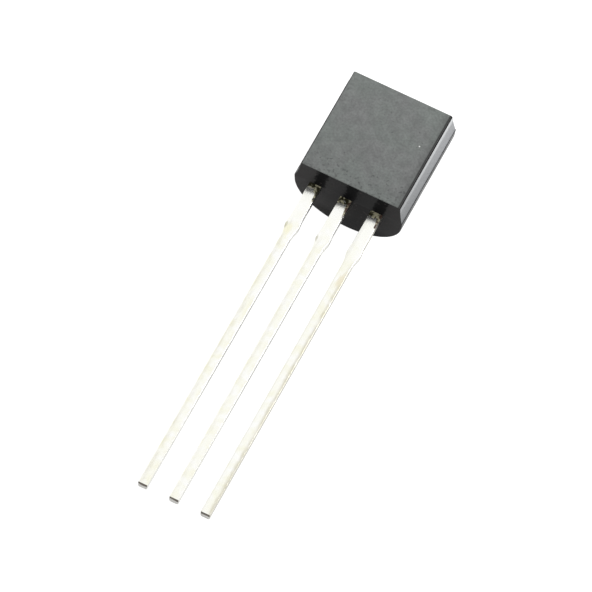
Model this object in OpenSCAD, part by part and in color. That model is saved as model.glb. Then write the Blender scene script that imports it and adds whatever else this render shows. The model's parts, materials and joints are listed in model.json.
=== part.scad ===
// Three-lead transistor in a small moulded package with one flat face.
// It lies as it comes to rest: flat face up, on the lower edge of its round
// back and on the tips of its leads.
//
// Inside the modules x runs across the flat face, y runs along the body
// (the leads leave towards -y) and z points out of the flat face, which lies
// at z = 0. in_rest_pose() turns and lifts every node from there.

/* [Moulded body] */
// Width of the flat front face
flat_width = 4.10; // [3.9:0.05:4.3]
// Greatest width of the body, just behind the parting plane
body_width = 4.48; // [4.4:0.02:4.7]
// Height of the flat front face, along the leads
flat_height = 4.45; // [4.2:0.05:4.6]
// Depth of the parting plane, where the two mould halves meet, behind the flat face
parting_depth = 0.95; // [0.9:0.05:1.2]
// How far the back half stands out past the front half along each side
parting_step = 0.02; // [0.01:0.01:0.04]
// Depth of the straight side walls between the parting plane and the round
back_straight = 0.23; // [0.05:0.01:0.3]
// How far each of those straight walls leans in, as mould draft
back_lean = 0.01; // [0.01:0.005:0.03]
// How far each end face leans out from the flat to the parting plane
front_draft = 0.08; // [0.05:0.01:0.15]
// How far each end face leans back in from the parting plane to the back
back_draft = 0.19; // [0.1:0.01:0.3]
// Hollow of the side walls between the flat and the parting plane
flare_dip = 0.02; // [0.01:0.01:0.04]
// Bevel along the four edges of the flat face
edge_bevel = 0.05; // [0.03:0.01:0.08]
// Diameter of the ejector pin mark in the round back
pin_mark_diameter = 1.60; // [1.2:0.1:1.8]
// Depth of the ejector pin mark at the lowest line of the back
pin_mark_depth = 0.22; // [0.2:0.01:0.3]

/* [Leads] */
// Distance between the centre lines of neighbouring leads
lead_pitch = 1.27; // [1.24:0.01:1.3]
// How far the leadframe sits to the right of the middle of the body
leadframe_offset = -0.08; // [-0.1:0.02:0.1]
// Width of the free end of a lead
lead_width = 0.38; // [0.36:0.01:0.46]
// Thickness of the leadframe strip
lead_thickness = 0.38; // [0.34:0.01:0.5]
// Length of a lead outside the body
lead_length = 14.00; // [12.7:0.1:14.5]
// Width of the lead's shoulder, next to the body
shoulder_width = 0.48; // [0.47:0.01:0.56]
// Length of the shoulder outside the body
shoulder_length = 2.00; // [1.5:0.1:2.5]
// Length over which the shoulder narrows to the free end
shoulder_taper = 0.30; // [0.2:0.05:0.5]
// How far the stub of the cut dam bar stands out of each side of the shoulder
stub_reach = 0.03; // [0.02:0.01:0.06]
// Width of the dam bar, and so the length of its stub along the lead
stub_length = 0.30; // [0.2:0.05:0.4]
// Diameter of the round notches that key a lead into the moulding
key_notch_diameter = 0.20; // [0.12:0.02:0.24]
// Distance of those notches inside the end of the body
key_notch_depth = 0.75; // [0.6:0.05:0.9]

/* [Die pad and bond posts] */
// Distance of the die from the middle of the body, away from the leads
die_offset = 0.05; // [-0.1:0.05:0.2]
// Border of the die pad round the die and round its hole
pad_border = 0.18; // [0.12:0.02:0.24]
// Diameter of the hole that keys the die pad into the moulding
key_hole_diameter = 0.45; // [0.3:0.05:0.6]
// Gap between the die pad and each bond post
frame_gap = 0.20; // [0.15:0.01:0.3]
// Width of a bond post
post_width = 0.80; // [0.7:0.05:0.9]
// Height of a bond post
post_height = 0.85; // [0.7:0.05:1.0]

/* [Die and bonds] */
// Side of the square silicon die
die_side = 0.75; // [0.5:0.05:0.9]
// Thickness of the silicon die
die_thickness = 0.22; // [0.15:0.01:0.3]
// Thickness of the layer that fixes the die to its pad
attach_thickness = 0.03; // [0.02:0.01:0.05]
// Distance that the layer shows beyond each side of the die
attach_rim = 0.04; // [0.02:0.01:0.06]
// Diameter of a bond wire
wire_diameter = 0.05; // [0.04:0.005:0.06]
// Diameter of the flattened ball or stitch at each end of a wire
bond_diameter = 0.14; // [0.1:0.01:0.16]
// Height of that ball or stitch
bond_height = 0.04; // [0.03:0.01:0.05]
// Height of a wire's loop above the die, to the middle of the wire
loop_height = 0.25; // [0.2:0.01:0.3]
// Radius of the bends in a wire, to the middle of the wire
loop_bend = 0.10; // [0.06:0.01:0.12]
// Distance of each bond from the middle of the die, across the body
bond_across = 0.18; // [0.1:0.01:0.2]
// Distance of each bond from the middle of the die, along the body
bond_along = 0.12; // [0.08:0.01:0.14]

/* [Hidden] */

$fn = 96;

// How far a cutting shape runs past what it cuts
overrun = 1;

// Body
back_radius = body_width / 2 - back_lean;
back_centre_depth = parting_depth + back_straight;
body_depth = back_centre_depth + back_radius;
body_end = flat_height / 2 + front_draft;
back_end = body_end - back_draft;

// Leads, die pad and bond posts
frame_top = -parting_depth;
frame_bottom = frame_top - lead_thickness;
lead_tip = body_end + lead_length;
shoulder_end = body_end + shoulder_length;
post_inner_edge = lead_pitch - shoulder_width / 2;
post_centre = post_inner_edge + post_width / 2;
pad_width = 2 * (post_inner_edge - frame_gap);
pad_start = die_offset - die_side / 2 - pad_border;
key_hole_offset = die_offset + die_side / 2 + pad_border + key_hole_diameter / 2;
pad_end = key_hole_offset + key_hole_diameter / 2 + pad_border;

// Die and bond wires
die_bottom = frame_top + attach_thickness;
die_top = die_bottom + die_thickness;
loop_top = die_top + loop_height;

// Rest: the lead end of the back and the lower edge of the lead tips are down
rest_tilt = atan((body_depth + frame_bottom) / (lead_tip - back_end));
rest_lift = back_end * sin(rest_tilt) + body_depth * cos(rest_tilt);
rest_front = -lead_tip * cos(rest_tilt) - frame_top * sin(rest_tilt);
rest_back = max(
    back_end * cos(rest_tilt) + body_depth * sin(rest_tilt),
    body_end * cos(rest_tilt) + parting_depth * sin(rest_tilt)
);

module in_rest_pose() {
    translate([0, -(rest_front + rest_back) / 2, rest_lift])
        rotate([rest_tilt, 0, 0])
            children();
}

// An outline's right half, followed by its mirror image
function both_sides(points) = concat(
    points,
    [for (i = [len(points) - 1:-1:0]) [-points[i][0], points[i][1]]]
);

// Section across the front mould half: hollow side walls from the flat face to
// the parting plane, and a wedge that reaches into the back half
module front_section() {
    difference() {
        polygon(both_sides([
            [flat_width / 2 - edge_bevel, 0],
            [flat_width / 2 + edge_bevel, -2 * edge_bevel],
            [body_width / 2 - parting_step, -parting_depth],
            [0, -back_centre_depth]
        ]));
        for (side = [-1, 1])
            flare_circle(side);
    }
}

// The circle that hollows a side wall by flare_dip. It passes through the
// corner of the flat face and through the corner at the parting plane.
module flare_circle(side) {
    flare_out = (body_width - flat_width) / 2 - parting_step;
    chord = norm([flare_out, parting_depth]);
    radius = (chord ^ 2 / 4 + flare_dip ^ 2) / (2 * flare_dip);
    outwards = [parting_depth, flare_out] / chord;
    centre = [(flat_width + flare_out) / 2, -parting_depth / 2]
        + outwards * (radius - flare_dip);
    translate([side * centre[0], centre[1]])
        circle(radius);
}

// Section across the short leaning walls behind the parting plane, and a wedge
// that reaches into the round
module wall_section() {
    polygon(both_sides([
        [body_width / 2, -parting_depth],
        [back_radius, -back_centre_depth],
        [0, -back_centre_depth - back_radius / 2]
    ]));
}

// Section across the round back
module round_section() {
    intersection() {
        translate([0, -back_centre_depth])
            circle(back_radius);
        translate([-back_radius, -body_depth])
            square([2 * back_radius, back_radius]);
    }
}

// Runs a section across the body along the whole of it
module along_body() {
    rotate([90, 0, 0])
        linear_extrude(2 * (body_end + overrun), center = true)
            children();
}

// Section along the body, with its two leaning ends
module end_profile() {
    polygon(both_sides([
        [flat_height / 2 - edge_bevel, 0],
        [flat_height / 2 + front_draft * edge_bevel / parting_depth, -edge_bevel],
        [body_end, -parting_depth],
        [back_end, -body_depth]
    ]));
}

module body_solid() {
    difference() {
        intersection() {
            union() {
                along_body() front_section();
                along_body() wall_section();
                along_body() round_section();
            }
            rotate([90, 0, 90])
                linear_extrude(body_width + 2 * overrun, center = true)
                    end_profile();
        }
        translate([0, 0, -body_depth - overrun])
            cylinder(h = overrun + pin_mark_depth, d = pin_mark_diameter);
    }
}

// One lead from its tip to its inner end, seen on the flat face
module lead_strip(inner_end) {
    difference() {
        polygon(both_sides([
            [lead_width / 2, -lead_tip],
            [lead_width / 2, -shoulder_end - shoulder_taper],
            [shoulder_width / 2 + stub_reach, -shoulder_end],
            [shoulder_width / 2 + stub_reach, -shoulder_end + stub_length],
            [shoulder_width / 2, -shoulder_end + stub_length],
            [shoulder_width / 2, inner_end]
        ]));
        for (side = [-1, 1])
            translate([side * shoulder_width / 2, key_notch_depth - body_end])
                circle(d = key_notch_diameter);
    }
}

// Gives a shape seen on the flat face the thickness of the leadframe
module frame_plate() {
    translate([0, 0, frame_bottom])
        linear_extrude(lead_thickness)
            children();
}

// Moves what the leadframe carries to where the frame sits in the moulding
module on_leadframe() {
    translate([leadframe_offset, 0, 0])
        children();
}

// The lead at side 1 is the base and the lead at side -1 is the emitter
module outer_lead_solid(side) {
    frame_plate() {
        translate([side * lead_pitch, 0])
            lead_strip(die_offset);
        translate([side * post_centre, die_offset])
            square([post_width, post_height], center = true);
    }
}

module collector_lead_solid() {
    frame_plate()
        difference() {
            union() {
                lead_strip(die_offset);
                translate([-pad_width / 2, pad_start])
                    square([pad_width, pad_end - pad_start]);
            }
            translate([0, key_hole_offset])
                circle(d = key_hole_diameter);
        }
}

// A square plate above the die pad, where the die is
module plate_on_pad(side_length, bottom, thickness) {
    translate([0, die_offset, bottom + thickness / 2])
        cube([side_length, side_length, thickness], center = true);
}

module die_solid() {
    plate_on_pad(die_side, die_bottom, die_thickness);
}

module die_attach_solid() {
    plate_on_pad(die_side + 2 * attach_rim, frame_top, attach_thickness);
}

// An upright length of wire at x, with its flattened bond at the lower end
module wire_post(x, bottom) {
    translate([x, 0, bottom]) {
        cylinder(h = loop_top - loop_bend - bottom, d = wire_diameter);
        cylinder(h = bond_height, d = bond_diameter);
    }
}

// A quarter turn of wire about a point at x, from the angle start
module wire_bend(x, start) {
    translate([x, 0, loop_top - loop_bend])
        rotate([90, 0, 0])
            rotate([0, 0, start])
                rotate_extrude(angle = 90)
                    translate([loop_bend, 0])
                        circle(d = wire_diameter);
}

// A bond wire from the die to a post: up, across and down
module bond_wire_solid(side) {
    run = post_centre - bond_across - 2 * loop_bend;
    mirror([side < 0 ? 1 : 0, 0, 0])
        translate([0, die_offset - side * bond_along, 0]) {
            wire_post(bond_across, die_top);
            wire_bend(bond_across + loop_bend, 90);
            translate([bond_across + loop_bend, 0, loop_top])
                rotate([0, 90, 0])
                    cylinder(h = run, d = wire_diameter);
            wire_bend(post_centre - loop_bend, 0);
            wire_post(post_centre, frame_top);
        }
}

// The moulding fills the space round everything that it holds
module moulded_body() {
    color("#2d2e2e")
        difference() {
            body_solid();
            emitter_lead();
            collector_lead();
            base_lead();
            silicon_die();
            die_attach();
            emitter_bond_wire();
            base_bond_wire();
        }
}

module emitter_lead() {
    color("#e9e9e2") on_leadframe() outer_lead_solid(-1);
}

module collector_lead() {
    color("#e9e9e2") on_leadframe() collector_lead_solid();
}

module base_lead() {
    color("#e9e9e2") on_leadframe() outer_lead_solid(1);
}

module silicon_die() {
    color("#5a6068") on_leadframe() die_solid();
}

module die_attach() {
    color("#c4c6c8") on_leadframe() die_attach_solid();
}

module emitter_bond_wire() {
    color("#d9a441") on_leadframe() bond_wire_solid(-1);
}

module base_bond_wire() {
    color("#d9a441") on_leadframe() bond_wire_solid(1);
}

in_rest_pose() {
    moulded_body();
    emitter_lead();
    collector_lead();
    base_lead();
    silicon_die();
    die_attach();
    emitter_bond_wire();
    base_bond_wire();
}
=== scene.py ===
import json
import math

import bmesh
import bpy
from mathutils import Matrix, Vector


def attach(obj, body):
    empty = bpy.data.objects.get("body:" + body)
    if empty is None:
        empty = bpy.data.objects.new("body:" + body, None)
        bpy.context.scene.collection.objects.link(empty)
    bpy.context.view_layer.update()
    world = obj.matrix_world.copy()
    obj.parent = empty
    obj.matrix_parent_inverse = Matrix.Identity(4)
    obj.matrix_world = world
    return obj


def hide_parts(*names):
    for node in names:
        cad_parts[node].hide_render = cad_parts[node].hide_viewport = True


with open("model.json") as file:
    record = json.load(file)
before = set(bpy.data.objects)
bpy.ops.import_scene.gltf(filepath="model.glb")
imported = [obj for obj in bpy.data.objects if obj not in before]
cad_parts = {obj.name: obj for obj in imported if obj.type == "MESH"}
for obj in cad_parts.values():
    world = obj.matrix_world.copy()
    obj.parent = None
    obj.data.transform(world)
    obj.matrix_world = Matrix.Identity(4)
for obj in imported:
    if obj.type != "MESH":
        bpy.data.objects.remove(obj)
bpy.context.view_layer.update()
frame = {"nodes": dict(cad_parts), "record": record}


# The moulded body. Black epoxy moulding compound, pressed as one block round the
# leadframe in a two-part mould. The flat has a fine matt grain, the front half of
# each side wall is satin, and the ends and the round back are nearly black.
MM = 0.001

FLAT_WIDTH = 4.10 * MM
FLAT_HEIGHT = 4.45 * MM
BODY_WIDTH = 4.48 * MM
PARTING_DEPTH = 0.95 * MM
PARTING_STEP = 0.02 * MM
BACK_STRAIGHT = 0.23 * MM
BACK_RADIUS = 2.23 * MM
FRONT_DRAFT = 0.08 * MM
BACK_DRAFT = 0.19 * MM
FLARE_DIP = 0.02 * MM
SIDE_ROUNDING = 0.07 * MM
END_ROUNDING = 0.025 * MM
PIN_MARK_RADIUS = 0.80 * MM
PIN_MARK_DEPTH = 0.22 * MM
SHARP_CORNER = math.radians(60)
SAME_POINT = 0.0001 * MM
CUT_TOLERANCE = 0.001 * MM

BODY_END = FLAT_HEIGHT / 2 + FRONT_DRAFT
BACK_CENTRE = -PARTING_DEPTH - BACK_STRAIGHT
BODY_DEPTH = BACK_RADIUS - BACK_CENTRE

# The part lies on its back with its lead tips down. The middle of the flat face
# and its normal, which the record gives, turn a mesh from its own axes (x across
# the flat, y along the body, z out of the flat) to where it lies.
flat_mount = next(m for m in frame["record"]["mounts"] if m["name"] == "flat_face")
flat_middle = Vector(flat_mount["pos_m"])
flat_normal = Vector(flat_mount["axis"])
rest_tilt = math.atan2(-flat_normal.y, flat_normal.z)
lie_down = Matrix.Translation(flat_middle) @ Matrix.Rotation(rest_tilt, 4, "X")


def piece_from(bm, name, materials):
    """Turns a bmesh in the part's own axes into a piece where the part lies."""
    bmesh.ops.transform(bm, matrix=lie_down, verts=bm.verts)
    mesh = bpy.data.meshes.new(name)
    bm.to_mesh(mesh)
    bm.free()
    for material in materials:
        mesh.materials.append(material)
    piece = bpy.data.objects.new(name, mesh)
    bpy.context.scene.collection.objects.link(piece)
    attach(piece, "root")
    return piece


def even_shading(piece):
    """Lets the large faces set the shading, and keeps the sharp edges."""
    weighted = piece.modifiers.new("even_shading", "WEIGHTED_NORMAL")
    weighted.weight = 100
    weighted.keep_sharp = True


def colour(code):
    """An sRGB hex code as the linear colour that a shader takes."""
    values = [int(code[i : i + 2], 16) / 255 for i in (1, 3, 5)]
    linear = [v / 12.92 if v <= 0.04045 else ((v + 0.055) / 1.055) ** 2.4 for v in values]
    return (*linear, 1)


def add(tree, kind, inputs=None, **settings):
    """Adds a shader node with its settings, and sets or links its inputs."""
    node = tree.nodes.new("ShaderNode" + kind)
    for name, value in settings.items():
        setattr(node, name, value)
    for name, value in (inputs or {}).items():
        if isinstance(value, bpy.types.NodeSocket):
            tree.links.new(value, node.inputs[name])
        else:
            node.inputs[name].default_value = value
    return node


def new_material(name):
    material = bpy.data.materials.new(name)
    material.use_nodes = True
    material.node_tree.nodes.clear()
    return material, material.node_tree


def part_space(tree):
    """Object coordinates turned to the part's own axes, in millimetres."""
    turned = add(
        tree,
        "Mapping",
        {
            "Vector": add(tree, "TexCoord").outputs["Object"],
            "Location": flat_middle,
            "Rotation": (rest_tilt, 0, 0),
            "Scale": (MM, MM, MM),
        },
        vector_type="TEXTURE",
    )
    return turned.outputs["Vector"]


# Sizes of the compound's patterns, in millimetres
WAX_CLOUD = 1.3
RESIN_BLOTCH = 0.40
FILLER_GRAIN = 0.09
PIT = 0.15
RESIN_FLECK = 0.13

RELIEF_HEIGHT = 0.01 * MM

# Places on the flat and widths of its marks, in millimetres in the part's own axes
FLAT_END = (FLAT_HEIGHT / 2 - END_ROUNDING) / MM
FLAT_CORNER = (FLAT_WIDTH / 2 - SIDE_ROUNDING) / MM
CORNER_LINE = 0.05
CORNER_SHADE = 0.28
PITTED_FROM = -1.0
CHIP_PLACE = (1.522, 0.478, 0.0)
CHIP_RADIUS = 0.035
CHIP_CORE = 0.02


def flat_shade(tree, place, axes, grain):
    """How light the flat is from place to place, as a factor on its colour."""
    blotches = add(
        tree, "TexNoise", {"Vector": place, "Scale": 1 / RESIN_BLOTCH, "Detail": 4.0}
    ).outputs["Fac"]
    blotched = add(
        tree,
        "MapRange",
        {"Value": blotches, "From Min": 0.3, "From Max": 0.7, "To Min": 0.83, "To Max": 1.13},
    ).outputs["Result"]
    grained = add(
        tree,
        "MapRange",
        {"Value": grain, "From Min": 0.3, "From Max": 0.7, "To Min": 0.85, "To Max": 1.13},
    ).outputs["Result"]

    # Darker along its right edge, with a thin line of painted shade before the rounded
    # corner, and a little lighter towards its far end
    near_corner = add(
        tree,
        "MapRange",
        {
            "Value": axes["X"],
            "From Min": FLAT_CORNER - CORNER_SHADE,
            "From Max": FLAT_CORNER - CORNER_LINE,
            "To Min": 1.0,
            "To Max": 0.80,
        },
    ).outputs["Result"]
    # Painted shade: the dark line that the rounded corner shows
    corner = add(
        tree,
        "MapRange",
        {
            "Value": axes["X"],
            "From Min": FLAT_CORNER - CORNER_LINE,
            "From Max": FLAT_CORNER,
            "To Min": 1.0,
            "To Max": 0.10,
        },
        interpolation_type="SMOOTHSTEP",
    ).outputs["Result"]
    along = add(
        tree,
        "MapRange",
        {
            "Value": axes["Y"],
            "From Min": -FLAT_END,
            "From Max": FLAT_END,
            "To Min": 0.96,
            "To Max": 1.06,
        },
    ).outputs["Result"]

    # Fine pits, more of them towards the leads
    pits = add(
        tree, "TexNoise", {"Vector": place, "Scale": 1 / PIT, "Detail": 1.0}
    ).outputs["Fac"]
    pit_limit = add(
        tree,
        "MapRange",
        {
            "Value": axes["Y"],
            "From Min": PITTED_FROM,
            "From Max": -FLAT_END,
            "To Min": 0.24,
            "To Max": 0.36,
        },
    ).outputs["Result"]
    over_limit = add(tree, "Math", {0: pits, 1: pit_limit}, operation="SUBTRACT").outputs["Value"]
    pitted = add(
        tree, "MapRange", {"Value": over_limit, "From Max": 0.08, "To Min": 0.66}
    ).outputs["Result"]

    shade = blotched
    for factor in (grained, near_corner, corner, along, pitted):
        shade = add(tree, "Math", {0: shade, 1: factor}, operation="MULTIPLY").outputs["Value"]
    return shade


def spark_eroded_compound():
    # Epoxy compound from a spark-eroded mould face: silica filler shows through
    # the resin skin, so it is a matt green-grey, clouded by release wax. The grey is
    # also partly painted sheen, paler than the black compound. The grain is about
    # twice as coarse as the real one, to show at all.
    material, tree = new_material("epoxy_compound_spark_eroded")
    place = part_space(tree)
    axes = add(tree, "SeparateXYZ", {"Vector": place}).outputs
    clouds = add(
        tree, "TexNoise", {"Vector": place, "Scale": 1 / WAX_CLOUD, "Detail": 3.0}
    ).outputs["Fac"]
    clouded = add(
        tree, "MapRange", {"Value": clouds, "From Min": 0.38, "From Max": 0.62}
    ).outputs["Result"]
    # A green-grey that is partly painted sheen
    tint = add(
        tree,
        "MixRGB",
        {"Fac": clouded, "Color1": colour("#6e7370"), "Color2": colour("#6f7170")},
    ).outputs["Color"]
    grain = add(
        tree, "TexNoise", {"Vector": place, "Scale": 1 / FILLER_GRAIN, "Detail": 2.0}
    ).outputs["Fac"]
    shade = flat_shade(tree, place, axes, grain)
    tint = add(
        tree,
        "MixRGB",
        {"Fac": 1.0, "Color1": tint, "Color2": shade},
        blend_type="MULTIPLY",
    ).outputs["Color"]

    # One chipped grain shows white
    from_chip = add(
        tree, "VectorMath", {0: place, 1: CHIP_PLACE}, operation="DISTANCE"
    ).outputs["Value"]
    chip = add(
        tree,
        "MapRange",
        {"Value": from_chip, "From Min": CHIP_RADIUS, "From Max": CHIP_CORE},
    ).outputs["Result"]
    tint = add(
        tree,
        "MixRGB",
        {"Fac": chip, "Color1": tint, "Color2": colour("#e4e4e0")},
    ).outputs["Color"]

    relief = add(
        tree, "Bump", {"Height": grain, "Strength": 0.4, "Distance": RELIEF_HEIGHT}
    ).outputs["Normal"]
    shader = add(
        tree,
        "BsdfPrincipled",
        {"Base Color": tint, "Roughness": 0.55, "Normal": relief},
    )
    add(tree, "OutputMaterial", {"Surface": shader.outputs["BSDF"]})
    return material


# How deep under the flat the painted highlight along a side wall's top edge
# starts and is at its palest, in millimetres
HIGHLIGHT_FROM = 0.40
HIGHLIGHT_FULL = 0.22


def drawn_compound():
    # The same compound from the mould's side walls, which are drawn past it as it
    # is ejected: satin, and bright where light grazes it. Its grey, lighter towards
    # the far end, is partly painted sheen of that grazing light.
    material, tree = new_material("epoxy_compound_drawn")
    place = part_space(tree)
    axes = add(tree, "SeparateXYZ", {"Vector": place}).outputs
    # Painted sheen in part: the wall is lighter towards the far end
    far_end = add(
        tree,
        "MapRange",
        {"Value": axes["Y"], "From Min": -FLAT_END, "From Max": FLAT_END},
    ).outputs["Result"]
    tint = add(
        tree,
        "MixRGB",
        {"Fac": far_end, "Color1": colour("#616466"), "Color2": colour("#8c8e91")},
    ).outputs["Color"]

    # The edge by the flat is painted pale, a painted highlight, most of all at the far end
    by_flat = add(
        tree,
        "MapRange",
        {"Value": axes["Z"], "From Min": -HIGHLIGHT_FROM, "From Max": -HIGHLIGHT_FULL},
        interpolation_type="SMOOTHSTEP",
    ).outputs["Result"]
    highlight_strength = add(tree, "MapRange", {"Value": far_end, "To Min": 0.3}).outputs["Result"]
    painted_highlight = add(tree, "Math", {0: highlight_strength, 1: by_flat}, operation="MULTIPLY").outputs["Value"]
    tint = add(
        tree,
        "MixRGB",
        {"Fac": painted_highlight, "Color1": tint, "Color2": colour("#c4c7c8")},
    ).outputs["Color"]

    grain = add(
        tree, "TexNoise", {"Vector": place, "Scale": 1 / FILLER_GRAIN, "Detail": 3.0}
    ).outputs["Fac"]
    grained = add(
        tree,
        "MapRange",
        {"Value": grain, "From Min": 0.3, "From Max": 0.7, "To Min": 0.82, "To Max": 1.18},
    ).outputs["Result"]
    tint = add(
        tree,
        "MixRGB",
        {"Fac": 1.0, "Color1": tint, "Color2": grained},
        blend_type="MULTIPLY",
    ).outputs["Color"]
    roughness = add(
        tree,
        "MapRange",
        {"Value": grain, "From Min": 0.3, "From Max": 0.7, "To Min": 0.26, "To Max": 0.38},
    ).outputs["Result"]
    shader = add(tree, "BsdfPrincipled", {"Base Color": tint, "Roughness": roughness})
    add(tree, "OutputMaterial", {"Surface": shader.outputs["BSDF"]})
    return material


def from_nearest_lane(tree, sideways, middle, pitch):
    """How far a place is to the right of the nearest of evenly spaced lanes."""
    shifted = add(
        tree, "Math", {0: sideways, 1: pitch / 2 - middle}, operation="ADD"
    ).outputs["Value"]
    in_lane = add(
        tree, "Math", {0: shifted, 1: pitch}, operation="FLOORED_MODULO"
    ).outputs["Value"]
    return add(
        tree, "Math", {0: in_lane, 1: pitch / 2}, operation="SUBTRACT"
    ).outputs["Value"]


LEADFRAME_OFFSET = -0.08 * MM
LEAD_PITCH = 1.27 * MM

# Places on the dark faces and widths of their fades, in millimetres in the part's
# own axes
LEFT_SHEEN_FROM = -1.0
LEFT_SHEEN_FULL = -1.7
END_FACE_FADE = 0.03
DARKEST_AT = 0.5
GREYER_FROM = 0.2
GREYER_FULL = 2.3
FRONT_FADE = PARTING_STEP / MM

# The painted shadows of the leads, black patches over them: the middle one's
# place, how far apart they are, how much they lean over, and where they end and
# are full to either side
PATCH_MIDDLE = 0.13
PATCH_PITCH = 0.97 * LEAD_PITCH / MM
PATCH_LEAN = -0.12
PATCH_EDGE = 0.26
PATCH_CORE = 0.18
PATCH_RAGGEDNESS = 0.06


def painted_lead_shadows(tree, axes, flecks):
    """Over each lead, a deep black patch of painted shadow."""
    leaned = add(
        tree, "Math", {0: axes["Z"], 1: PATCH_LEAN, 2: axes["X"]}, operation="MULTIPLY_ADD"
    ).outputs["Value"]
    from_patch = from_nearest_lane(tree, leaned, PATCH_MIDDLE, PATCH_PITCH)
    from_patch = add(tree, "Math", {0: from_patch}, operation="ABSOLUTE").outputs["Value"]
    ragged = add(
        tree,
        "MapRange",
        {
            "Value": flecks,
            "From Min": 0.3,
            "From Max": 0.7,
            "To Min": -PATCH_RAGGEDNESS,
            "To Max": PATCH_RAGGEDNESS,
        },
    ).outputs["Result"]
    from_patch = add(tree, "Math", {0: from_patch, 1: ragged}, operation="ADD").outputs["Value"]
    return add(
        tree,
        "MapRange",
        {"Value": from_patch, "From Min": PATCH_EDGE, "From Max": PATCH_CORE},
    ).outputs["Result"]


def lead_end_tint(tree, axes, over_parting, under_parting, flecks):
    """The lead-end face: painted lighter above the parting line, greyer towards its
    sides, and black with painted shadow over each lead.
    """
    front = add(
        tree,
        "MapRange",
        {
            "Value": axes["Z"],
            "From Min": -PARTING_DEPTH / MM - FRONT_FADE,
            "From Max": -PARTING_DEPTH / MM + FRONT_FADE,
        },
    ).outputs["Result"]
    # Painted light: the half above the parting line is greyer than the half below
    tint = add(
        tree,
        "MixRGB",
        {"Fac": front, "Color1": under_parting, "Color2": over_parting},
    ).outputs["Color"]
    off_darkest = add(
        tree, "Math", {0: axes["X"], 1: DARKEST_AT}, operation="SUBTRACT"
    ).outputs["Value"]
    off_darkest = add(tree, "Math", {0: off_darkest}, operation="ABSOLUTE").outputs["Value"]
    towards_sides = add(
        tree,
        "MapRange",
        {"Value": off_darkest, "From Min": GREYER_FROM, "From Max": GREYER_FULL},
    ).outputs["Result"]
    # Painted shadow of each lead, on the half above the parting line
    lead_shadow_places = painted_lead_shadows(tree, axes, flecks)
    painted_shadow = add(tree, "Math", {0: lead_shadow_places, 1: front}, operation="MULTIPLY").outputs["Value"]
    for mask, code in ((towards_sides, "#474646"), (painted_shadow, "#161617")):
        tint = add(
            tree,
            "MixRGB",
            {"Fac": mask, "Color1": tint, "Color2": colour(code)},
        ).outputs["Color"]
    return tint


def smooth_compound():
    # The same compound with its resin skin unbroken: nearly black, with a dull
    # sheen and faint smears of mould release. On the lead-end face the half above
    # the parting line, which tilts up to the light, is painted greyer than the
    # back half, as painted light.
    material, tree = new_material("epoxy_compound_resin_skin")
    place = part_space(tree)
    axes = add(tree, "SeparateXYZ", {"Vector": place}).outputs
    smears = add(
        tree, "TexNoise", {"Vector": place, "Scale": 1 / WAX_CLOUD, "Detail": 6.0}
    ).outputs["Fac"]
    smeared = add(
        tree, "MapRange", {"Value": smears, "From Min": 0.35, "From Max": 0.65}
    ).outputs["Result"]
    tint, over_parting, under_parting = (
        add(
            tree,
            "MixRGB",
            {"Fac": smeared, "Color1": colour(clean), "Color2": colour(smear)},
        ).outputs["Color"]
        for clean, smear in (
            ("#1c1c1d", "#262524"),
            ("#2f2f30", "#363635"),
            ("#1a1a1b", "#232221"),
        )
    )
    flecks = add(
        tree, "TexNoise", {"Vector": place, "Scale": 1 / RESIN_FLECK, "Detail": 2.0}
    ).outputs["Fac"]
    left_sheen = add(
        tree,
        "MapRange",
        {"Value": axes["X"], "From Min": LEFT_SHEEN_FROM, "From Max": LEFT_SHEEN_FULL},
    ).outputs["Result"]
    end_face = add(
        tree,
        "MapRange",
        {"Value": axes["Y"], "From Min": -FLAT_END + END_FACE_FADE, "From Max": -FLAT_END},
    ).outputs["Result"]
    flecked = add(
        tree, "MapRange", {"Value": flecks, "From Min": 0.65, "From Max": 0.73}
    ).outputs["Result"]
    for mask, over in (
        (left_sheen, colour("#3a3939")),
        (end_face, lead_end_tint(tree, axes, over_parting, under_parting, flecks)),
        (flecked, colour("#453f40")),
    ):
        tint = add(tree, "MixRGB", {"Fac": mask, "Color1": tint, "Color2": over}).outputs["Color"]

    grain = add(
        tree, "TexNoise", {"Vector": place, "Scale": 1 / FILLER_GRAIN, "Detail": 2.0}
    ).outputs["Fac"]
    relief = add(
        tree, "Bump", {"Height": grain, "Strength": 0.3, "Distance": RELIEF_HEIGHT}
    ).outputs["Normal"]
    shader = add(
        tree,
        "BsdfPrincipled",
        {
            "Base Color": tint,
            "Roughness": 0.5,
            "Specular IOR Level": 0.03,
            "Normal": relief,
        },
    )
    add(tree, "OutputMaterial", {"Surface": shader.outputs["BSDF"]})
    return material


def satin_compound():
    # The same compound where the mould is polished, so that the part lets go of
    # it: black, with a soft sheen that follows the curve.
    material, tree = new_material("epoxy_compound_polished")
    place = part_space(tree)
    smears = add(
        tree, "TexNoise", {"Vector": place, "Scale": 1 / WAX_CLOUD, "Detail": 5.0}
    ).outputs["Fac"]
    tint = add(
        tree,
        "MixRGB",
        {"Fac": smears, "Color1": colour("#161617"), "Color2": colour("#232323")},
    ).outputs["Color"]
    roughness = add(
        tree,
        "MapRange",
        {"Value": smears, "From Min": 0.35, "From Max": 0.65, "To Min": 0.36, "To Max": 0.48},
    ).outputs["Result"]
    grain = add(
        tree, "TexNoise", {"Vector": place, "Scale": 1 / FILLER_GRAIN, "Detail": 2.0}
    ).outputs["Fac"]
    relief = add(
        tree, "Bump", {"Height": grain, "Strength": 0.25, "Distance": RELIEF_HEIGHT}
    ).outputs["Normal"]
    shader = add(
        tree,
        "BsdfPrincipled",
        {
            "Base Color": tint,
            "Roughness": roughness,
            "Specular IOR Level": 0.3,
            "Normal": relief,
        },
    )
    add(tree, "OutputMaterial", {"Surface": shader.outputs["BSDF"]})
    return material


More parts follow.
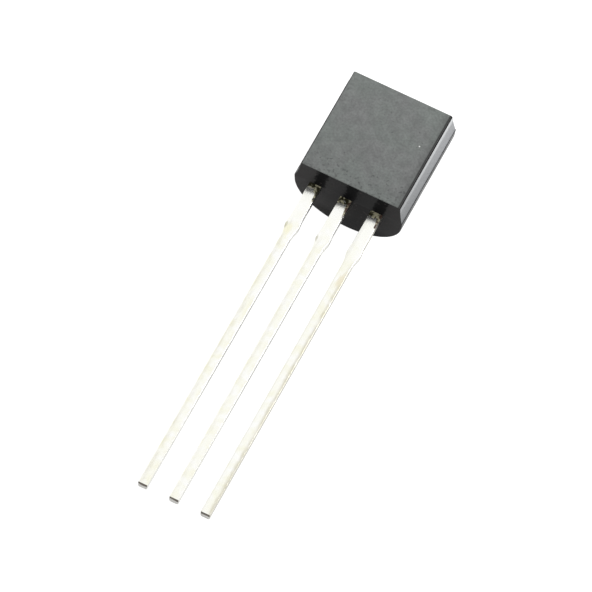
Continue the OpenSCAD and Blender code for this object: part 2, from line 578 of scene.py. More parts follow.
def section_outline(bm):
    """The right half of the body's section, from the flat round to the back."""
    flare_out = (BODY_WIDTH - FLAT_WIDTH) / 2 - PARTING_STEP
    chord = math.hypot(flare_out, PARTING_DEPTH)
    flare_radius = (chord**2 / 4 + FLARE_DIP**2) / (2 * FLARE_DIP)
    outwards = Vector((PARTING_DEPTH, 0, flare_out)) / chord
    chord_middle = Vector((FLAT_WIDTH / 2 + flare_out / 2, 0, -PARTING_DEPTH / 2))
    flare_centre = chord_middle + outwards * (flare_radius - FLARE_DIP)
    flare_angle = 2 * math.asin(chord / 2 / flare_radius)

    middle = bm.verts.new((0, 0, 0))
    corner = bm.verts.new((FLAT_WIDTH / 2, 0, 0))
    bm.edges.new((middle, corner))
    bmesh.ops.spin(
        bm,
        geom=[corner],
        cent=flare_centre,
        axis=(0, 1, 0),
        angle=-flare_angle,
        steps=8,
    )
    front_end = max(bm.verts, key=lambda v: v.co.x)
    parting_corner = bm.verts.new((BODY_WIDTH / 2, 0, -PARTING_DEPTH))
    bm.edges.new((front_end, parting_corner))
    back_start = bm.verts.new((BACK_RADIUS, 0, BACK_CENTRE))
    bm.edges.new((parting_corner, back_start))
    bmesh.ops.spin(
        bm,
        geom=[back_start],
        cent=(0, 0, BACK_CENTRE),
        axis=(0, 1, 0),
        angle=math.pi / 2,
        steps=32,
    )
    bmesh.ops.bevel(
        bm,
        geom=[corner],
        offset=SIDE_ROUNDING,
        offset_type="OFFSET",
        affect="VERTICES",
        segments=5,
        profile=0.5,
        material=-1,
    )


def moulded_block():
    """The section drawn out along the body and cut at each end to the mould's drafts."""
    bm = bmesh.new()
    section_outline(bm)
    bmesh.ops.mirror(bm, geom=bm.verts[:] + bm.edges[:], axis="X", merge_dist=SAME_POINT)
    bmesh.ops.remove_doubles(bm, verts=bm.verts, dist=SAME_POINT)
    bmesh.ops.contextual_create(bm, geom=bm.edges[:])
    bmesh.ops.translate(bm, verts=bm.verts, vec=(0, -BODY_END, 0))
    run = bmesh.ops.extrude_face_region(bm, geom=bm.faces[:])
    bmesh.ops.translate(
        bm,
        verts=[v for v in run["geom"] if isinstance(v, bmesh.types.BMVert)],
        vec=(0, 2 * BODY_END, 0),
    )
    for end in (-1, 1):
        for draft, depth in (
            (FRONT_DRAFT, PARTING_DEPTH),
            (-BACK_DRAFT, BODY_DEPTH - PARTING_DEPTH),
        ):
            cut = bmesh.ops.bisect_plane(
                bm,
                geom=bm.verts[:] + bm.edges[:] + bm.faces[:],
                dist=CUT_TOLERANCE,
                plane_co=(0, end * BODY_END, -PARTING_DEPTH),
                plane_no=Vector((0, end * depth, draft)).normalized(),
                clear_outer=True,
            )
            rim = [e for e in cut["geom_cut"] if isinstance(e, bmesh.types.BMEdge)]
            bmesh.ops.holes_fill(bm, edges=rim)
    bmesh.ops.recalc_face_normals(bm, faces=bm.faces)
    return bm


# How squarely a face has to look along the body or to its side, as the share of its
# normal, to count as an end, as the polished far end or as a side wall
END_FACING = 0.9
FAR_END_FACING = 0.5
WALL_FACING = 0.7


def round_ends(bm):
    """Rounds the rim of each end face a little."""
    rims = [
        e
        for e in bm.edges
        if sum(abs(f.normal.y) > END_FACING for f in e.link_faces) == 1
    ]
    bmesh.ops.bevel(
        bm,
        geom=rims,
        offset=END_ROUNDING,
        offset_type="OFFSET",
        affect="EDGES",
        segments=3,
        profile=0.5,
        material=-1,
    )


# The order of the finishes in the body's material slots
SPARK_ERODED, DRAWN, RESIN_SKIN, POLISHED = range(4)


def finish_faces(bm):
    """Gives each face the finish that its part of the mould leaves."""
    for face in bm.faces:
        middle = face.calc_center_median()
        on_flat = middle.z > -END_ROUNDING and abs(middle.x) < FLAT_WIDTH / 2 - SIDE_ROUNDING / 2
        sideways = abs(face.normal.x) > WALL_FACING
        on_wall = sideways and -PARTING_DEPTH < middle.z < -SIDE_ROUNDING
        on_lead_end = face.normal.y <= -END_FACING
        on_far_end = face.normal.y > FAR_END_FACING
        if on_flat:
            face.material_index = SPARK_ERODED
        elif on_wall:
            face.material_index = DRAWN
        elif on_far_end or (middle.z < -PARTING_DEPTH and not on_lead_end):
            face.material_index = POLISHED
        else:
            face.material_index = RESIN_SKIN
        face.smooth = True


def press_pin_mark(body):
    """Cuts the ejector pin's round mark into the lowest line of the back."""
    bm = bmesh.new()
    bmesh.ops.create_cone(
        bm,
        cap_ends=True,
        segments=64,
        radius1=PIN_MARK_RADIUS,
        radius2=PIN_MARK_RADIUS,
        depth=2 * PIN_MARK_DEPTH,
    )
    bmesh.ops.translate(bm, verts=bm.verts, vec=(0, 0, -BODY_DEPTH))
    bmesh.ops.transform(bm, matrix=lie_down, verts=bm.verts)
    pin_mesh = bpy.data.meshes.new("ejector_pin")
    bm.to_mesh(pin_mesh)
    bm.free()
    for face in pin_mesh.polygons:
        face.material_index = POLISHED
    for material in body.data.materials:
        pin_mesh.materials.append(material)
    pin = bpy.data.objects.new("ejector_pin", pin_mesh)
    bpy.context.scene.collection.objects.link(pin)
    cut = body.modifiers.new("pin_mark", "BOOLEAN")
    cut.object = pin
    cut.operation = "DIFFERENCE"
    cut.solver = "EXACT"
    pressed = body.evaluated_get(bpy.context.evaluated_depsgraph_get())
    body.data = bpy.data.meshes.new_from_object(pressed)
    body.modifiers.clear()
    bpy.data.objects.remove(pin)
    bm = bmesh.new()
    bm.from_mesh(body.data)
    for edge in bm.edges:
        edge.smooth = edge.calc_face_angle(0) < SHARP_CORNER
    bm.to_mesh(body.data)
    bm.free()


bm = moulded_block()
round_ends(bm)
finish_faces(bm)
body = piece_from(
    bm,
    "body_moulding",
    [spark_eroded_compound(), drawn_compound(), smooth_compound(), satin_compound()],
)
press_pin_mark(body)
even_shading(body)
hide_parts("moulded_body")


# The three leads. Strip of a copper alloy, stamped as one leadframe, tinned and cut
# free. The punch rounds the lower edges, and the stub of the cut dam bar, which
# held the molten compound back, widens each shoulder.
LEAD_WIDTH = 0.38 * MM
LEAD_THICKNESS = 0.38 * MM
LEAD_LENGTH = 14.00 * MM
SHOULDER_WIDTH = 0.48 * MM
SHOULDER_LENGTH = 2.00 * MM
SHOULDER_TAPER = 0.30 * MM
STUB_REACH = 0.03 * MM
STUB_LENGTH = 0.30 * MM
STUB_EASE = 0.15 * MM
TAPER_EASE = 0.30 * MM
INSIDE_OVERLAP = 0.10 * MM
LOWER_ROUNDING = 0.08 * MM
UPPER_ROUNDING = 0.015 * MM
TIP_ROUNDING = 0.02 * MM
SHARP_EDGE = math.radians(35)
SQUARE_ON = 0.8
NEARLY_FLAT = math.radians(1)

LEAD_TOP = -PARTING_DEPTH
LEAD_TIP = -BODY_END - LEAD_LENGTH
SHOULDER_END = -BODY_END - SHOULDER_LENGTH

# Sizes of the patterns on the leads, in millimetres
TIN_BLOTCH = 0.45
TIN_STREAK = (0.10, 0.32, 0.10)
FILM_RAGGEDNESS = 0.16
FILM_CELL = 0.13
STAIN_SQUEEZE = 0.4

# Places across a lead, in millimetres from its middle line towards its worn and shaded edge
BAND_FROM = -0.10
BAND_FULL = 0.12
CLEAN_EDGE_FROM = 0.13
CLEAN_EDGE_FULL = 0.18
RIM_FROM = -0.21
RIM_FULL = -0.26
THIRD_BAND_SHIFT = 0.105

# The same towards its right edge, where the film of resin reaches further
FILMED_EDGE_FROM = 0.12
FILMED_EDGE_FULL = 0.21

# Places along a lead, in millimetres from the body
CLEAN_ROOT_END = 1.0
BLOTCHED_FROM = 3.0
DARK_BAND_FROM = 1.1
DARK_BAND_FULL = 2.1
THIRD_BAND_LATER = 0.9
FILM_SHORTEST = 0.12
FILM_LONGEST = 0.40
FILM_AT_EDGE = 0.45
FILM_FADE = 0.03

# Half a pitch to either side lies between the middle lead and the next one
BETWEEN_LEADS = LEAD_PITCH / 2 / MM


def distance_from_body(tree, axes):
    return add(
        tree, "Math", {0: -BODY_END / MM, 1: axes["Y"]}, operation="SUBTRACT"
    ).outputs["Value"]


def distance_towards_worn(tree, across, third):
    """From a lead's middle line to its worn and shaded edge: the left, but the third's right."""
    worn_side = add(
        tree, "MapRange", {"Value": third, "To Min": -1.0, "To Max": 1.0}
    ).outputs["Result"]
    band_shift = add(
        tree, "MapRange", {"Value": third, "To Max": THIRD_BAND_SHIFT}
    ).outputs["Result"]
    towards_worn = add(
        tree, "Math", {0: across, 1: worn_side}, operation="MULTIPLY"
    ).outputs["Value"]
    return add(
        tree, "Math", {0: towards_worn, 1: band_shift}, operation="SUBTRACT"
    ).outputs["Value"]


def worn_and_shaded_streaks(tree, axes, towards_worn, from_body, third, streaks):
    """How worn and shaded the tin is: a streaked band along one edge, past the
    shoulder, partly wear and partly painted shade of the rounded edge.
    """
    band = add(
        tree,
        "MapRange",
        {"Value": towards_worn, "From Min": BAND_FROM, "From Max": BAND_FULL},
    ).outputs["Result"]
    clean_edge = add(
        tree,
        "MapRange",
        {
            "Value": towards_worn,
            "From Min": CLEAN_EDGE_FROM,
            "From Max": CLEAN_EDGE_FULL,
            "To Min": 1.0,
            "To Max": 0.4,
        },
    ).outputs["Result"]

    # The band is weakest on the middle lead and by far strongest on the third,
    # though it starts later along it
    from_middle = add(tree, "Math", {0: axes["X"]}, operation="ABSOLUTE").outputs["Value"]
    outer = add(
        tree, "Math", {0: from_middle, 1: BETWEEN_LEADS}, operation="GREATER_THAN"
    ).outputs["Value"]
    outer_lead = add(tree, "MapRange", {"Value": outer, "To Min": 0.8}).outputs["Result"]
    third_strongest = add(
        tree, "MapRange", {"Value": third, "To Min": 0.72, "To Max": 1.95}
    ).outputs["Result"]
    later = add(
        tree,
        "Math",
        {0: third, 1: -THIRD_BAND_LATER, 2: from_body},
        operation="MULTIPLY_ADD",
    ).outputs["Value"]
    past_shoulder = add(
        tree, "MapRange", {"Value": later, "From Min": DARK_BAND_FROM, "From Max": DARK_BAND_FULL}
    ).outputs["Result"]
    streaked = streaks
    for share in (band, clean_edge, outer_lead, third_strongest, past_shoulder):
        streaked = add(
            tree, "Math", {0: streaked, 1: share}, operation="MULTIPLY"
        ).outputs["Value"]
    return add(
        tree,
        "MapRange",
        {"Value": streaked, "From Min": 0.15, "From Max": 0.70, "To Max": 0.42},
    ).outputs["Result"]


def strip_stains(tree, place, streaks, tint):
    """The tint with stains where the strip was gripped and the dam bar was cut."""
    squeezed = add(
        tree, "VectorMath", {0: place, 1: (1, STAIN_SQUEEZE, 1)}, operation="MULTIPLY"
    ).outputs["Vector"]
    # Which lead, how far right of its middle line and how far from the body the
    # stain is, its half width, its colour
    for lane, right, distance, half_width, code in (
        (-1, -0.206, 2.04, 0.05, "#b8b6a2"),
        (-1, -0.08, 2.13, 0.11, "#f9f6de"),
        (0, -0.235, 1.98, 0.05, "#d2d0c2"),
        (1, -0.232, 2.01, 0.05, "#efeee4"),
        (1, 0.09, 3.2, 0.12, "#f0e9d2"),
    ):
        spot = (
            (LEADFRAME_OFFSET + lane * LEAD_PITCH) / MM + right,
            (-BODY_END / MM - distance) * STAIN_SQUEEZE,
            LEAD_TOP / MM,
        )
        away = add(
            tree, "VectorMath", {0: squeezed, 1: spot}, operation="DISTANCE"
        ).outputs["Value"]
        frayed = add(tree, "Math", {0: away, 1: streaks}, operation="MULTIPLY").outputs["Value"]
        stain = add(
            tree,
            "MapRange",
            {"Value": frayed, "From Min": half_width * 0.7, "From Max": half_width * 0.25},
        ).outputs["Result"]
        tint = add(
            tree,
            "MixRGB",
            {"Fac": stain, "Color1": tint, "Color2": colour(code)},
        ).outputs["Color"]
    return tint


def resin_film(tree, place, axes, across, from_body):
    """Where a film of resin covers the root, and its colour."""
    ragged = add(
        tree, "TexNoise", {"Vector": place, "Scale": 1 / FILM_RAGGEDNESS, "Detail": 2.0}
    ).outputs["Fac"]
    reach = add(
        tree,
        "MapRange",
        {
            "Value": ragged,
            "From Min": 0.3,
            "From Max": 0.7,
            "To Min": FILM_SHORTEST,
            "To Max": FILM_LONGEST,
        },
    ).outputs["Result"]
    edge_reach = add(
        tree,
        "MapRange",
        {
            "Value": across,
            "From Min": FILMED_EDGE_FROM,
            "From Max": FILMED_EDGE_FULL,
            "To Max": FILM_AT_EDGE,
        },
    ).outputs["Result"]
    reach = add(tree, "Math", {0: edge_reach, 1: reach}, operation="ADD").outputs["Value"]
    short_of_reach = add(
        tree, "Math", {0: reach, 1: from_body}, operation="SUBTRACT"
    ).outputs["Value"]
    film = add(
        tree,
        "MapRange",
        {"Value": short_of_reach, "From Min": -FILM_FADE, "From Max": FILM_FADE},
    ).outputs["Result"]

    # Brown along the right edge of all but the first lead, with open cells that
    # the tin shows through
    first = add(
        tree, "Math", {0: axes["X"], 1: -BETWEEN_LEADS}, operation="LESS_THAN"
    ).outputs["Value"]
    brown_lead = add(
        tree, "MapRange", {"Value": first, "To Min": 2.2, "To Max": 0.0}
    ).outputs["Result"]
    browned = add(
        tree, "Math", {0: brown_lead, 1: edge_reach}, operation="MULTIPLY"
    ).outputs["Value"]
    resin = add(
        tree,
        "MixRGB",
        {"Fac": browned, "Color1": colour("#2e2d1e"), "Color2": colour("#5a463e")},
    ).outputs["Color"]
    cells = add(
        tree, "TexNoise", {"Vector": place, "Scale": 1 / FILM_CELL, "Detail": 1.0}
    ).outputs["Fac"]
    open_cells = add(
        tree, "MapRange", {"Value": cells, "From Min": 0.47, "From Max": 0.60}
    ).outputs["Result"]
    resin = add(
        tree,
        "MixRGB",
        {"Fac": open_cells, "Color1": resin, "Color2": colour("#aeaa90")},
    ).outputs["Color"]
    return film, resin


def tin_plate():
    # Bright tin on copper alloy: a faintly warm white metal. One edge of each lead
    # is streaked olive where the tin has worn, darkened too by painted shade of the
    # rounded edge, the other edge has a thin grey line of painted shade, and a
    # ragged film of the compound's resin has crept out over the root.
    material, tree = new_material("tin_plate")
    place = part_space(tree)
    axes = add(tree, "SeparateXYZ", {"Vector": place}).outputs
    from_body = distance_from_body(tree, axes)
    across = from_nearest_lane(tree, axes["X"], LEADFRAME_OFFSET / MM, LEAD_PITCH / MM)
    third = add(
        tree, "Math", {0: axes["X"], 1: BETWEEN_LEADS}, operation="GREATER_THAN"
    ).outputs["Value"]
    towards_worn = distance_towards_worn(tree, across, third)

    blotches = add(
        tree, "TexNoise", {"Vector": place, "Scale": 1 / TIN_BLOTCH, "Detail": 4.0}
    ).outputs["Fac"]
    blotched = add(
        tree, "MapRange", {"Value": blotches, "From Min": 0.35, "From Max": 0.65}
    ).outputs["Result"]
    past_root = add(
        tree,
        "MapRange",
        {
            "Value": from_body,
            "From Min": CLEAN_ROOT_END,
            "From Max": BLOTCHED_FROM,
            "To Min": 0.35,
        },
    ).outputs["Result"]
    blotched = add(
        tree, "Math", {0: blotched, 1: past_root}, operation="MULTIPLY"
    ).outputs["Value"]
    tint = add(
        tree,
        "MixRGB",
        {"Fac": blotched, "Color1": colour("#fffffc"), "Color2": colour("#faf9e9")},
    ).outputs["Color"]

    stretched = add(
        tree,
        "VectorMath",
        {0: place, 1: [1 / size for size in TIN_STREAK]},
        operation="MULTIPLY",
    ).outputs["Vector"]
    streaks = add(
        tree, "TexNoise", {"Vector": stretched, "Scale": 1.0, "Detail": 3.0}
    ).outputs["Fac"]
    wear_and_shade = worn_and_shaded_streaks(tree, axes, towards_worn, from_body, third, streaks)
    # Painted shade: a thin grey line along the other edge
    rim = add(
        tree,
        "MapRange",
        {"Value": towards_worn, "From Min": RIM_FROM, "From Max": RIM_FULL, "To Max": 0.10},
    ).outputs["Result"]
    for mask, code in ((wear_and_shade, "#b0a67e"), (rim, "#8f8c80")):
        tint = add(
            tree,
            "MixRGB",
            {"Fac": mask, "Color1": tint, "Color2": colour(code)},
        ).outputs["Color"]
    tint = strip_stains(tree, place, streaks, tint)
    film, resin = resin_film(tree, place, axes, across, from_body)
    tint = add(tree, "MixRGB", {"Fac": film, "Color1": tint, "Color2": resin}).outputs["Color"]

    metallic = add(tree, "Math", {0: 1.0, 1: film}, operation="SUBTRACT").outputs["Value"]
    roughness = add(
        tree, "MapRange", {"Value": wear_and_shade, "To Min": 0.18, "To Max": 0.40}
    ).outputs["Result"]
    relief = add(
        tree, "Bump", {"Height": streaks, "Strength": 0.15, "Distance": RELIEF_HEIGHT}
    ).outputs["Normal"]
    shader = add(
        tree,
        "BsdfPrincipled",
        {
            "Base Color": tint,
            "Metallic": metallic,
            "Roughness": roughness,
            "Normal": relief,
        },
    )
    add(tree, "OutputMaterial", {"Surface": shader.outputs["BSDF"]})
    return material


# Places along a sheared side, in millimetres from the body
BODY_SHADE_END = 1.8
BODY_SHADE_FULL = 0.4
PALE_TIP_FROM = 8.5
PALE_TIP_FULL = 11.0
BAR_CUT_FROM = 1.95
BAR_CUT_FULL = 2.05
TAPER_FULL = 2.4
TAPER_END = 2.6

# A nick in the middle lead's right side, in millimetres in the part's own axes
NICK_PLACE = (0.11, -7.32, -1.14)
NICK_RADIUS = 0.10
NICK_CORE = 0.06


def sheared_side():
    # The punched sides: tin over torn metal, a duller grey than the rolled faces.
    # Near the body they are painted darker, painted shade and reflection of the dark
    # body; the third lead's sides carry painted shade, and the taper past the dam
    # bar's cut is painted lighter.
    material, tree = new_material("tinned_shear_face")
    place = part_space(tree)
    axes = add(tree, "SeparateXYZ", {"Vector": place}).outputs
    from_body = distance_from_body(tree, axes)
    tears = add(
        tree, "VectorMath", {0: place, 1: (1.0, 1 / FILM_CELL, 1.0)}, operation="MULTIPLY"
    ).outputs["Vector"]
    torn = add(
        tree, "TexNoise", {"Vector": tears, "Scale": 1.0, "Detail": 3.0}
    ).outputs["Fac"]
    tint = add(
        tree,
        "MixRGB",
        {"Fac": torn, "Color1": colour("#9a9996"), "Color2": colour("#b8b7b3")},
    ).outputs["Color"]

    # Painted shade and reflection of the dark body, strongest next to it
    resin_skin = add(
        tree, "MapRange", {"Value": from_body, "From Min": BODY_SHADE_END, "From Max": BODY_SHADE_FULL}
    ).outputs["Result"]
    pale_tip = add(
        tree,
        "MapRange",
        {
            "Value": from_body,
            "From Min": PALE_TIP_FROM,
            "From Max": PALE_TIP_FULL,
            "To Max": 0.6,
        },
    ).outputs["Result"]
    third = add(
        tree, "Math", {0: axes["X"], 1: BETWEEN_LEADS}, operation="GREATER_THAN"
    ).outputs["Value"]
    # Painted shade: the third lead's sides are darker and warmer
    shaded_third = add(tree, "MapRange", {"Value": third, "To Max": 0.9}).outputs["Result"]
    # Painted light: the side is lighter along the taper past the dam bar's cut, evening out its
    # shade
    past_bar_cut = add(
        tree,
        "MapRange",
        {"Value": from_body, "From Min": BAR_CUT_FROM, "From Max": BAR_CUT_FULL},
    ).outputs["Result"]
    before_taper_end = add(
        tree, "MapRange", {"Value": from_body, "From Min": TAPER_END, "From Max": TAPER_FULL}
    ).outputs["Result"]
    painted_light_taper = add(
        tree, "Math", {0: past_bar_cut, 1: before_taper_end}, operation="MULTIPLY"
    ).outputs["Value"]
    from_nick = add(
        tree, "VectorMath", {0: place, 1: NICK_PLACE}, operation="DISTANCE"
    ).outputs["Value"]
    nick = add(
        tree,
        "MapRange",
        {"Value": from_nick, "From Min": NICK_RADIUS, "From Max": NICK_CORE},
    ).outputs["Result"]
    for mask, code in (
        (resin_skin, "#6c6b68"),
        (pale_tip, "#e2e1dc"),
        (shaded_third, "#b2afa4"),
        (painted_light_taper, "#d2d1cc"),
        (nick, "#3a3836"),
    ):
        tint = add(
            tree,
            "MixRGB",
            {"Fac": mask, "Color1": tint, "Color2": colour(code)},
        ).outputs["Color"]
    shader = add(
        tree,
        "BsdfPrincipled",
        {"Base Color": tint, "Metallic": 1.0, "Roughness": 0.35},
    )
    add(tree, "OutputMaterial", {"Surface": shader.outputs["BSDF"]})
    return material


# The burnished stripe on a cut tip, in millimetres: its depth, and how far its
# edge wanders and fades
STRIPE_DEPTH = 0.15
STRIPE_WOBBLE = 0.05
STRIPE_FADE = 0.02


def cut_end():
    # The cut tips, where no tin covers the alloy: a dark burnished stripe where the
    # blade came in, and paler torn metal with smeared tin below it.
    material, tree = new_material("bare_copper_alloy_cut")
    place = part_space(tree)
    height = add(tree, "SeparateXYZ", {"Vector": place}).outputs["Z"]
    grain = add(
        tree, "TexNoise", {"Vector": place, "Scale": 1 / FILM_CELL, "Detail": 2.0}
    ).outputs["Fac"]
    wobble = add(
        tree,
        "MapRange",
        {"Value": grain, "To Min": -STRIPE_WOBBLE, "To Max": STRIPE_WOBBLE},
    ).outputs["Result"]
    level = add(tree, "Math", {0: height, 1: wobble}, operation="ADD").outputs["Value"]
    stripe = add(
        tree,
        "MapRange",
        {
            "Value": level,
            "From Min": LEAD_TOP / MM - STRIPE_DEPTH - STRIPE_FADE,
            "From Max": LEAD_TOP / MM - STRIPE_DEPTH + STRIPE_FADE,
        },
    ).outputs["Result"]
    burnished = add(
        tree,
        "MixRGB",
        {"Fac": grain, "Color1": colour("#3f3f33"), "Color2": colour("#6b5a4e")},
    ).outputs["Color"]
    tint = add(
        tree,
        "MixRGB",
        {"Fac": stripe, "Color1": colour("#e2e1dc"), "Color2": burnished},
    ).outputs["Color"]
    shader = add(
        tree,
        "BsdfPrincipled",
        {"Base Color": tint, "Metallic": 0.3, "Roughness": 0.5},
    )
    add(tree, "OutputMaterial", {"Surface": shader.outputs["BSDF"]})
    return material


def sealed_length(node):
    """The length of a CAD lead that is in the body, as a merged mesh in the part's axes."""
    bm = bmesh.new()
    bm.from_mesh(frame["nodes"][node].data)
    bmesh.ops.transform(bm, matrix=lie_down.inverted(), verts=bm.verts)
    bmesh.ops.remove_doubles(bm, verts=bm.verts, dist=CUT_TOLERANCE)
    bmesh.ops.dissolve_limit(bm, angle_limit=NEARLY_FLAT, verts=bm.verts, edges=bm.edges)
    cut = bmesh.ops.bisect_plane(
        bm,
        geom=bm.verts[:] + bm.edges[:] + bm.faces[:],
        plane_co=(0, -BODY_END + INSIDE_OVERLAP, 0),
        plane_no=(0, -1, 0),
        clear_outer=True,
    )
    rim = [e for e in cut["geom_cut"] if isinstance(e, bmesh.types.BMEdge)]
    bmesh.ops.holes_fill(bm, edges=rim)
    return bm


def rounded_strip_end(bm, middle):
    """A lead's section at its tip, with the edges rounded as the punch leaves them."""
    lead_centre = LEAD_TOP - LEAD_THICKNESS / 2
    square = bmesh.ops.create_grid(bm, x_segments=1, y_segments=1, size=0.5)["verts"]
    bmesh.ops.scale(bm, verts=square, vec=(LEAD_WIDTH, LEAD_THICKNESS, 1))
    bmesh.ops.rotate(bm, verts=square, matrix=Matrix.Rotation(math.pi / 2, 3, "X"))
    bmesh.ops.translate(bm, verts=square, vec=(middle, LEAD_TIP, lead_centre))
    for corners, rounding, steps in (
        ([v for v in square if v.co.z < lead_centre], LOWER_ROUNDING, 5),
        ([v for v in square if v.co.z > lead_centre], UPPER_ROUNDING, 3),
    ):
        bmesh.ops.bevel(
            bm,
            geom=corners,
            offset=rounding,
            offset_type="OFFSET",
            affect="VERTICES",
            segments=steps,
            profile=0.5,
            material=-1,
        )
    return next(f for f in bm.faces if all(v.co.y < LEAD_TIP + TIP_ROUNDING for v in f.verts))


# The order of the finishes in a lead's material slots
ROLLED, SHEARED, CUT_OFF = range(3)


def lead_mesh(node, middle):
    """A lead: its sealed length, and its open length drawn from the tip to the body."""
    bm = sealed_length(node)
    section = rounded_strip_end(bm, middle)
    sections = []
    width = LEAD_WIDTH
    stub_width = SHOULDER_WIDTH + 2 * STUB_REACH
    for place, next_width in (
        (SHOULDER_END - SHOULDER_TAPER - TAPER_EASE, LEAD_WIDTH),
        (SHOULDER_END - SHOULDER_TAPER, LEAD_WIDTH + STUB_REACH),
        (SHOULDER_END, stub_width),
        (SHOULDER_END + STUB_LENGTH - STUB_EASE, stub_width),
        (SHOULDER_END + STUB_LENGTH + STUB_EASE, SHOULDER_WIDTH),
        (-BODY_END + 2 * INSIDE_OVERLAP, SHOULDER_WIDTH),
    ):
        run = bmesh.ops.extrude_face_region(bm, geom=[section])["geom"]
        section = next(f for f in run if isinstance(f, bmesh.types.BMFace))
        sections.append(section)
        for side in (-1, 1):
            half = [v for v in section.verts if (v.co.x - middle) * side > 0]
            move = Vector((side * (next_width - width) / 2, place - half[0].co.y, 0))
            bmesh.ops.translate(bm, verts=half, vec=move)
        width = next_width
    bmesh.ops.delete(bm, geom=sections[:-1], context="FACES_ONLY")
    bmesh.ops.recalc_face_normals(bm, faces=bm.faces)
    tip_rim = [
        e
        for e in bm.edges
        if all(v.co.y < LEAD_TIP + TIP_ROUNDING / 2 for v in e.verts)
    ]
    bmesh.ops.bevel(
        bm,
        geom=tip_rim,
        offset=TIP_ROUNDING,
        offset_type="OFFSET",
        affect="EDGES",
        segments=2,
        profile=0.5,
        material=-1,
    )
    for face in bm.faces:
        at_tip = face.calc_center_median().y < LEAD_TIP + TIP_ROUNDING
        if at_tip and face.normal.y < -SQUARE_ON:
            face.material_index = CUT_OFF
        elif abs(face.normal.x) > SQUARE_ON:
            face.material_index = SHEARED
        else:
            face.material_index = ROLLED
        face.smooth = True
    for edge in bm.edges:
        edge.smooth = edge.calc_face_angle(0) < SHARP_EDGE
    return bm


lead_finishes = [tin_plate(), sheared_side(), cut_end()]
for name, lane in (("emitter", -1), ("collector", 0), ("base", 1)):
    node = name + "_lead"
    lead = piece_from(
        lead_mesh(node, LEADFRAME_OFFSET + lane * LEAD_PITCH),
        name + "_tinned_lead",
        lead_finishes,
    )
    even_shading(lead)
    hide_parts(node)


# The sealed pieces: the silicon die, the solder that holds it to the collector's
# strip, and the two gold wires. They are in the body, so each keeps its CAD solid
# and gets the look of what it is made of.
WIRE_DRAWING = 0.11


def plain_metal(name, code, roughness):
    material, tree = new_material(name)
    place = part_space(tree)
    marks = add(
        tree, "TexNoise", {"Vector": place, "Scale": 1 / WIRE_DRAWING, "Detail": 2.0}
    ).outputs["Fac"]
    gloss = add(
        tree,
        "MapRange",
        {"Value": marks, "To Min": roughness * 0.8, "To Max": roughness * 1.2},
    ).outputs["Result"]
    shader = add(
        tree,
        "BsdfPrincipled",
        {"Base Color": colour(code), "Metallic": 1.0, "Roughness": gloss},
    )
    add(tree, "OutputMaterial", {"Surface": shader.outputs["BSDF"]})
    return material


# Drawn gold is a warm yellow with a bright sheen, polished silicon a dark mirror,
# and solder a dull silver grey
gold = plain_metal("drawn_gold", "#e8b455", 0.2)
sealed_finishes = {
    "silicon_die": plain_metal("polished_silicon", "#7a7f88", 0.12),
    "die_attach": plain_metal("lead_tin_solder", "#b9bbbd", 0.4),
    "emitter_bond_wire": gold,
    "base_bond_wire": gold,
}
for node, finish in sealed_finishes.items():
    mesh = frame["nodes"][node].data
    mesh.materials.clear()
    mesh.materials.append(finish)


# The ground. A plain white table, which shows as white to the camera and in the
# metal, and which keeps the part's soft shadow.
TABLE_HALF_WIDTH = 2.0
TABLE_WHITE = 0.95


def white_table():
    # Matt white laminate: a plain glow where it is seen, over a mid grey that
    # takes the part's shadow.
    material, tree = new_material("white_laminate")
    rays = add(tree, "LightPath").outputs
    seen = rays["Is Camera Ray"]
    for kind in ("Is Glossy Ray", "Is Transmission Ray"):
        seen = add(tree, "Math", {0: seen, 1: rays[kind]}, operation="MAXIMUM").outputs["Value"]
    strength = add(
        tree, "Math", {0: seen, 1: TABLE_WHITE}, operation="MULTIPLY"
    ).outputs["Value"]
    glow = add(tree, "Emission", {"Strength": strength})
    matt = add(tree, "BsdfDiffuse", {"Color": colour("#959595")})
    both = add(tree, "AddShader", {0: glow.outputs["Emission"], 1: matt.outputs["BSDF"]})
    add(tree, "OutputMaterial", {"Surface": both.outputs["Shader"]})
    return material


bm = bmesh.new()
bmesh.ops.create_grid(bm, x_segments=1, y_segments=1, size=TABLE_HALF_WIDTH)
mesh = bpy.data.meshes.new("table")
bm.to_mesh(mesh)
bm.free()
mesh.materials.append(white_table())
table = bpy.data.objects.new("table", mesh)
bpy.context.scene.collection.objects.link(table)


# The light. A white room, grey high on the camera's side so that what faces the
# camera doesn't glare, and one soft lamp high on the right.
GREY_WALL_TOWARDS = Vector((0, -0.6, 0.8))
GREY_WALL_EDGE = 0.70
GREY_WALL_CORE = 0.90
GREY_WALL_COLOUR = (0.3, 0.3, 0.3, 1)
LAMP_PLACE = Vector((0.30, 0.12, 0.28))
LAMP_WIDTH = 0.25
LAMP_WATTS = 0.8

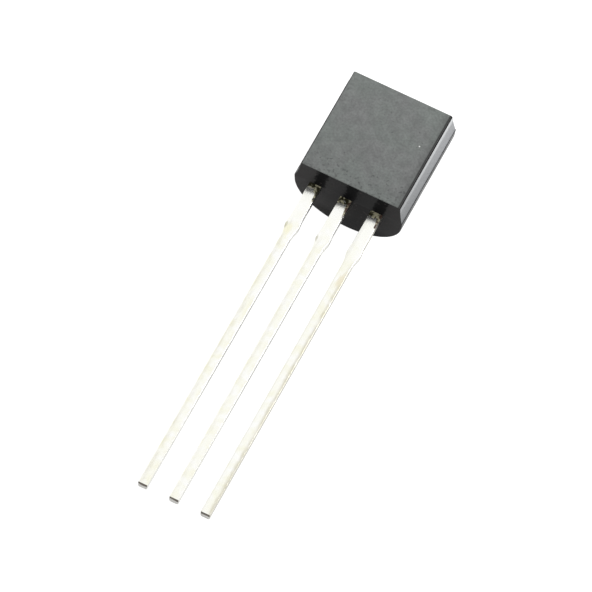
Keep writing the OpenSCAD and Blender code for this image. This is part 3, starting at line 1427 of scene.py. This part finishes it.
world = bpy.data.worlds.new("room")
world.use_nodes = True
bpy.context.scene.world = world
tree = world.node_tree
tree.nodes.clear()
towards_wall = add(
    tree,
    "VectorMath",
    {0: add(tree, "TexCoord").outputs["Generated"], 1: GREY_WALL_TOWARDS},
    operation="DOT_PRODUCT",
).outputs["Value"]
on_wall = add(
    tree,
    "MapRange",
    {"Value": towards_wall, "From Min": GREY_WALL_EDGE, "From Max": GREY_WALL_CORE},
    interpolation_type="SMOOTHSTEP",
).outputs["Result"]
room = add(
    tree,
    "MixRGB",
    {"Fac": on_wall, "Color1": (1, 1, 1, 1), "Color2": GREY_WALL_COLOUR},
).outputs["Color"]
glow = add(tree, "Background", {"Color": room})
add(tree, "OutputWorld", {"Surface": glow.outputs["Background"]})

lamp_data = bpy.data.lights.new("soft_lamp", "AREA")
lamp_data.shape = "DISK"
lamp_data.size = LAMP_WIDTH
lamp_data.energy = LAMP_WATTS
lamp = bpy.data.objects.new("soft_lamp", lamp_data)
lamp.location = LAMP_PLACE
lamp.rotation_euler = (-LAMP_PLACE).to_track_quat("-Z", "Y").to_euler()
bpy.context.scene.collection.objects.link(lamp)


# The camera. A long lens, rolled a little, that looks down on the flat face from
# the lead tips' side and from the right.
CAMERA_AIM = Vector((-0.247, 1.287, 0)) * MM
CAMERA_DISTANCE = 223.5 * MM
CAMERA_AZIMUTH = math.radians(16.40)
CAMERA_ELEVATION = math.radians(54.27)
CAMERA_ROLL = math.radians(11.75)
LENS_MM = 365.85
SENSOR_MM = 36.0

camera_data = bpy.data.cameras.new("camera")
camera_data.sensor_width = SENSOR_MM
camera_data.lens = LENS_MM
camera_data.clip_start = 0.01
camera_data.clip_end = 10.0
camera = bpy.data.objects.new("camera", camera_data)
towards_camera = Vector(
    (
        math.sin(CAMERA_AZIMUTH) * math.cos(CAMERA_ELEVATION),
        -math.cos(CAMERA_AZIMUTH) * math.cos(CAMERA_ELEVATION),
        math.sin(CAMERA_ELEVATION),
    )
)
camera.location = CAMERA_AIM + towards_camera * CAMERA_DISTANCE
level = towards_camera.to_track_quat("Z", "Y").to_matrix().to_4x4()
camera.rotation_euler = (level @ Matrix.Rotation(CAMERA_ROLL, 4, "Z")).to_euler()
bpy.context.scene.collection.objects.link(camera)
bpy.context.scene.camera = camera
bpy.context.scene.view_settings.view_transform = "Standard"
